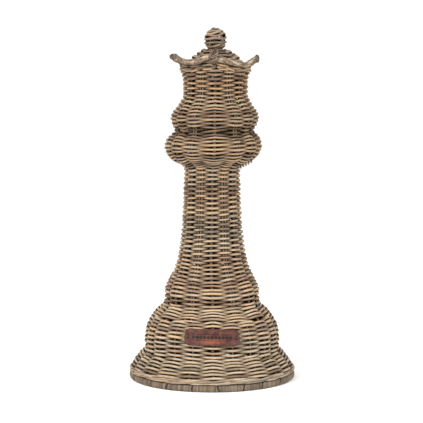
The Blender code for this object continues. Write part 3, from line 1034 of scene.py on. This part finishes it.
def make_crown_rods():
    """Barked rods that sag between their horns, each horn slightly swollen and bluntly cut."""
    rng = np.random.default_rng(SEED + 6)
    material = bark_material("rod_bark")
    sides = 20
    count = 100
    ends = np.linspace(0.0, 1.0, count)
    for k, (first_end, last_end, _) in enumerate(RODS):
        angle, radius, height = rod_line(k, count)
        height = height + wander(rng, count, 9, 0.35 * MM)
        points = to_points(height, radius, angle)
        thick = ROD_RADIUS * (0.97 + wander(rng, count, 14, 0.04))
        for share, rod_end in ((ends, first_end), (1.0 - ends, last_end)):
            if rod_end is ROD_HORN:
                thick = thick * (1.0 + 0.26 * clamp(1.0 - share / 0.2) ** 0.7)
            thick = thick * (0.80 + 0.20 * np.sqrt(clamp(share * 42)))
        # The cane's joints stand a little proud
        for joint in rng.uniform(0.1, 0.9, 3):
            thick = thick * (1.0 + 0.08 * np.exp(-((ends - joint) / 0.009) ** 2))
        vertices, faces, marks = tube(points, np.tile((0.0, 0.0, 1.0), (count, 1)), thick, sides)
        vertices = vertices.reshape(count, sides, 3)
        centre = points[:, None, :]
        ripple = rng.normal(0.0, 1.0, (count, sides))
        ripple = sum(np.roll(ripple, (i, j), (0, 1)) for i in (-1, 0, 1) for j in (-1, 0, 1)) / 9
        vertices = centre + (vertices - centre) * (1.0 + 0.09 * ripple[:, :, None])
        for side, last, before in ((0, 0, 1), (1, -1, -2)):
            if (k, side) in HORN_CUTS:
                vertices = saw_end(vertices, points, last, before, HORN_CUTS[k, side])
        cut = np.zeros((count, sides))
        cut[[0, -1]] = 1.0
        # Where a rod lies on the rim its underside is in the shade; its horns stand free
        facing_up = np.cos(marks["around"]).reshape(count, sides)
        lying = clamp(ends * 9 - 0.3) * clamp((1.0 - ends) * 9 - 0.3)
        shade = 0.85 * clamp(-(facing_up + 0.3) / 0.58) * lying[:, None]
        marks.update(tint=rng.uniform(0.1, 0.9), end=cut.reshape(-1), shade=shade.reshape(-1))
        rod = (vertices.reshape(-1, 3), faces, marks)
        make_piece(f"crown_rod_{k + 1}_bark", [rod], material, "bark_cane", f"crown_rod_{k + 1}")


def make_crown_rim(material):
    """Strands that fill the crown's edge up to each rod, rising with it towards both horns."""
    rng = np.random.default_rng(SEED + 8)
    rim_radius = 60.0 * MM
    floor = 526.6 * MM
    top = 543.0 * MM
    rows = 5
    count = 90
    share = np.linspace(0.0, 1.0, count)
    strands = []
    for k in range(len(RODS)):
        angle, _, height = rod_line(k, count)
        height = np.minimum(height, top)
        for row in range(rows):
            under = ROD_RADIUS + 1.2 * MM + row * 3.5 * MM
            line = height - under
            z = np.maximum(line, floor - row * 0.3 * MM)
            sunk = clamp((floor + 1.5 * MM - line) / (3.5 * MM))
            weave = 0.5 + 0.5 * np.cos(POSITIONS * angle + math.pi * row)
            inward = sunk * 6.0 * MM + weave * 4.2 * MM
            inward = inward + (clamp(0.05 - share) + clamp(share - 0.95)) * 110 * MM
            r = rim_radius - inward + wander(rng, count, 9, 0.4 * MM)
            z = soften(z, 2.0) + wander(rng, count, 10, 0.6 * MM)
            points = to_points(z, r, angle)
            radius = 2.05 * MM * rng.uniform(0.88, 1.1) * (1.0 + wander(rng, count, 10, 0.06))
            # Painted shade on strands sunk into the crown and where they pass inwards
            marks = {"tint": rng.uniform(0.0, 1.0), "show": np.clip(1.0 - sunk - 0.55 * weave, 0.1, 1.0)}
            strands.append(tube(points, directions(0.1, 1.0, angle), radius, **marks))
    make_piece("crown_rim_strands", strands, material, "weave", "crown_neck_weave")


def make_ball(material):
    """The finial: one cane wound up a globe, over and under its ribs, with a few open gaps."""
    rng = np.random.default_rng(SEED + 7)
    low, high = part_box("finial_ball")
    radius = 20.2 * MM
    polar = np.linspace(math.radians(158), math.radians(4), 200)
    ball = Wall(high[2] - radius + radius * np.cos(polar), radius * np.sin(polar))
    ribs = 5
    canes = []
    for k in range(ribs):
        s = np.linspace(0.0, ball.length * 0.97, 60)
        angle = k * math.tau / ribs + 0.45 * s / ball.length + 0.5 + wander(rng, 60, 4, 0.05)
        z, r = ball.at(s, 4.4 * MM)
        points = to_points(z, np.maximum(r, 0.6 * MM), angle)
        # The ribs are painted partly into shade
        marks = {"tint": rng.uniform(0.2, 0.8), "show": 0.35}
        canes.append(tube(points, ball.normal(s, angle), 1.7 * MM, **marks))
    pitch = 6.5 * MM
    sway = Sway(rng, 1.7 * MM, waves=6, rounds=3, height_scale=9 * MM)
    turn = every_step((ball.rows[-1] - 1 * MM) / pitch)
    over = 2.0 * MM

    def depth_at(angle, bulge):
        return over + 0.6 * MM * (1.0 + wave(ribs, angle))

    points, out, depth = strand_path(ball, rng, sway, turn, pitch * turn, ribs, depth_at, 1.2)
    tint, thick = cut_lengths(rng, points, 2.2 * MM, (0.1, 0.3), 20 * MM, 0.08)
    # Painted shade that deepens as the cane passes under the ribs, and towards the ball's underside
    show = clamp(1.0 - (depth - over) / (6 * MM))
    show = show * (0.45 + 0.55 * smooth_share(points[:, 2], low[2] + 1 * MM, low[2] + 11 * MM))
    canes.append(tube(points, out, thick, 10, tint=tint, show=show))
    make_piece("wound_ball", canes, material, "weave", "finial_ball")


def make_stem(material):
    """The stem inside the ball, and the binding where it joins the roof."""
    rng = np.random.default_rng(SEED + 9)
    low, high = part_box("finial_stem")
    count = 40
    points = to_points(np.linspace(low[2], high[2], count), np.zeros(count), 0.0)
    half = (high[1] - low[1]) / 2
    thick = half * (1.0 + wander(rng, count, 8, 0.04))
    # The stem is painted partly into shade
    stem = tube(points, np.tile((0.0, -1.0, 0.0), (count, 1)), thick, 12, tint=0.35, show=0.4)
    make_piece("stem_cane", [stem], cane_material("stem_looks", 0.2), "frame_cane", "finial_stem")

    low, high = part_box("stem_lashing")
    peel = 1.0 * MM
    rounds = 4
    count = rounds * 40
    turn = np.linspace(0.0, rounds, count)
    z = low[2] + peel + (high[2] - low[2] - 2 * peel) * turn / rounds
    layers = []
    for radius, tint in ((half + peel, 0.3), (half + 3 * peel, 0.5), (half + 4.6 * peel, 0.7)):
        r = radius + wander(rng, count, rounds * 8, 0.12 * MM)
        angle = turn * math.tau + radius * 500
        points = to_points(z, r, angle)
        # The binding is painted partly into shade
        layers.append(tube(points, directions(0.0, 1.0, angle), peel, tint=tint, show=0.6))
    make_piece("stem_binding", layers, material, "lashing", "stem_lashing")


# ---- leather label

LABEL_LENGTH = 94.0 * MM
LABEL_HALF_HEIGHT = 14.2 * MM
LABEL_THICKNESS = 2.2 * MM
LABEL_HEIGHT = 87.0 * MM
LABEL_LEAN = math.radians(15.0)
LABEL_RADIUS = 117.4 * MM
LABEL_TILT = math.radians(1.6)
SLOT_INSET = 4.5 * MM
SLOT_WIDTH = 2.4 * MM
SLOT_HALF_HEIGHT = 3.0 * MM


def on_label(along, up, out):
    """Points on the label: metres along its arc, up its lean and out of its inner face."""
    up = up - along * math.tan(LABEL_TILT)
    angle = along / (LABEL_RADIUS + LABEL_THICKNESS)
    radius = LABEL_RADIUS - up * math.sin(LABEL_LEAN) + out * math.cos(LABEL_LEAN)
    height = LABEL_HEIGHT + up * math.cos(LABEL_LEAN) + out * math.sin(LABEL_LEAN)
    return to_points(height, radius, angle)


def label_half_height(along, side):
    """Half height of the label's outline: rounded at the ends and a little wavy along the edges."""
    rounded = 9.0 * MM
    inside = clamp((np.abs(along) - LABEL_LENGTH / 2 + rounded) / rounded)
    waves = np.sin(along * 115 + 1.5 * side) + 0.6 * np.sin(along * 290 - side)
    return LABEL_HALF_HEIGHT * (0.42 + 0.58 * np.sqrt(1.0 - inside ** 2)) + 0.28 * MM * waves


def make_label():
    """A thick leather strip that follows the drum, with soft edges and a slot near each end."""
    half = LABEL_LENGTH / 2
    slot_out = half - SLOT_INSET
    slot_in = slot_out - SLOT_WIDTH
    right = np.concatenate((
        np.linspace(0, slot_in, 42),
        np.linspace(slot_in, slot_out, 4)[1:],
        np.linspace(slot_out, half, 9)[1:],
    ))
    columns = np.concatenate((-right[:0:-1], right))
    shares = np.linspace(-1.0, 1.0, 31)
    slot_share = 0.2
    along = np.repeat(columns[:, None], len(shares), axis=1)
    tall = label_half_height(along, np.sign(shares))
    # The rows keep a fixed height within the slots' band and share what is left outside it
    inner = np.clip(shares / slot_share, -1.0, 1.0) * SLOT_HALF_HEIGHT
    outer = np.sign(shares) * clamp((np.abs(shares) - slot_share) / (1 - slot_share))
    up = inner + outer * (tall - SLOT_HALF_HEIGHT)
    rim = np.minimum(tall - np.abs(up), half - np.abs(along))
    beside_slot = np.abs(np.abs(along) - (slot_in + slot_out) / 2) - SLOT_WIDTH / 2
    slot_gap = np.maximum(beside_slot, np.abs(up) - SLOT_HALF_HEIGHT)
    edge = 1.0 - clamp(np.minimum(rim, np.maximum(slot_gap, 0.0)) / (2.2 * MM))
    swell = 0.25 * MM * np.sin(along * 170 + 0.8) * np.cos(up * 90)
    top = LABEL_THICKNESS - 0.75 * MM * edge ** 2 + swell
    flat = (along.ravel(), up.ravel())
    vertices = np.concatenate((on_label(*flat, top.ravel()), on_label(*flat, 0.0 * top.ravel())))

    # Two layers of quads, open at the slots, and a wall along every edge that has one quad beside it
    total = along.size
    width = len(shares)
    faces = []
    sides_seen = set()
    for i in range(len(columns) - 1):
        in_slot_column = slot_in < abs(columns[i] + columns[i + 1]) / 2 < slot_out
        for j in range(width - 1):
            if in_slot_column and abs(shares[j] + shares[j + 1]) / 2 < slot_share:
                continue
            quad = (i * width + j, (i + 1) * width + j, (i + 1) * width + j + 1, i * width + j + 1)
            faces.append(quad)
            faces.append(tuple(total + corner for corner in reversed(quad)))
            sides_seen.update(zip(quad, quad[1:] + quad[:1]))
    for first, second in sides_seen:
        if (second, first) not in sides_seen:
            faces.append((second, first, first + total, second + total))
    faces.sort()
    used, corners = np.unique(np.array(faces), return_inverse=True)
    marks = {
        "along": np.tile(along.ravel(), 2)[used],
        "up": np.tile(up.ravel(), 2)[used],
        "edge": np.concatenate((edge.ravel(), np.ones(total)))[used],
        "face": np.repeat((1.0, 0.0), total)[used],
    }
    faces = corners.reshape(-1, 4).tolist()
    leather = leather_material("label_leather_looks")
    mesh = marked_mesh("tooled_leather_label", vertices[used], faces, marks, leather)
    mesh.set_sharp_from_angle(angle=math.radians(55))
    place_piece(mesh, "label_leather", "leather_label")


def make_ties():
    """Two turns of lace at each end of the label, through the slot and round the edge."""
    half = LABEL_LENGTH / 2
    lace = 0.55 * MM
    near = half + 0.8 * MM
    far = half - SLOT_INSET - SLOT_WIDTH / 2
    low = -0.6 * MM
    high = LABEL_THICKNESS + 0.7 * MM
    material = lace_material("lace")
    count = 48
    turn = np.arange(count) / count * math.tau
    # A rounded rectangle round the strip of leather outside the slot
    across, through = squarish(turn, 0.6)
    for side, name in ((-1, "left"), (1, "right")):
        along = side * ((near + far) / 2 + across * (near - far) / 2)
        out = (low + high) / 2 + through * (high - low) / 2
        turns = []
        for shift in (-0.75, 0.65):
            points = on_label(along, shift * MM + 0.3 * MM * np.sin(turn + shift), out)
            turns.append(tube(points, points - points.mean(axis=0), lace, closed=True))
        make_piece(f"lace_loop_{name}", turns, material, "label_lace", f"label_tie_{name}")


def make_neck_lashing(wall, material):
    """Short turns of cane bound across the collar's first rounds, side by side up its underside."""
    rng = np.random.default_rng(SEED + 10)
    angle = math.radians(64.0)
    half_width = 6.0 * MM
    first = wall.arc_at_height(359.5 * MM)
    last = wall.arc_at_height(374.0 * MM)
    turns = 6
    count = 24
    share = np.linspace(-1.0, 1.0, count)
    bent = np.abs(share) ** 3
    lashing = []
    for k in range(turns):
        s = first + (last - first) * k / (turns - 1) - share * 1.5 * MM + wander(rng, count, 3, 0.15 * MM)
        spread = angle + share * half_width * rng.uniform(0.9, 1.1) / wall.at(s, 0.0)[1]
        points = to_points(*wall.at(s, -1.6 * MM + 5.2 * MM * bent), spread)
        radius = 1.35 * MM * (1.0 + rng.normal(0.0, 0.06))
        # Painted shade towards the bent ends, where the turns go in
        marks = {"tint": rng.uniform(0.3, 0.8), "show": 1.0 - 0.5 * bent}
        lashing.append(tube(points, wall.normal(s, spread), radius, **marks))
    make_piece("neck_lashing_turns", lashing, material, "lashing", "neck_lashing")


# ---- build

make_camera()
make_studio()
wall = cad_wall(BANDS, 2.5 * MM)
roof = cad_wall(("roof_weave",), 1.5 * MM)
rattan = cane_material("rattan_weave")
greyed_with_painted_light = cane_material("rattan_weathered", 0.3)
weave_wall(wall, rattan)
canes_rng = np.random.default_rng(SEED + 1)
make_poles(wall, canes_rng)
make_stakes(wall, roof, canes_rng)
weave_roof(roof, rattan)
make_foot()
make_border(wall, greyed_with_painted_light)
make_hoops()
make_crown_rods()
make_crown_rim(rattan)
make_ball(greyed_with_painted_light)
make_stem(rattan)
make_label()
make_ties()
make_neck_lashing(wall, rattan)
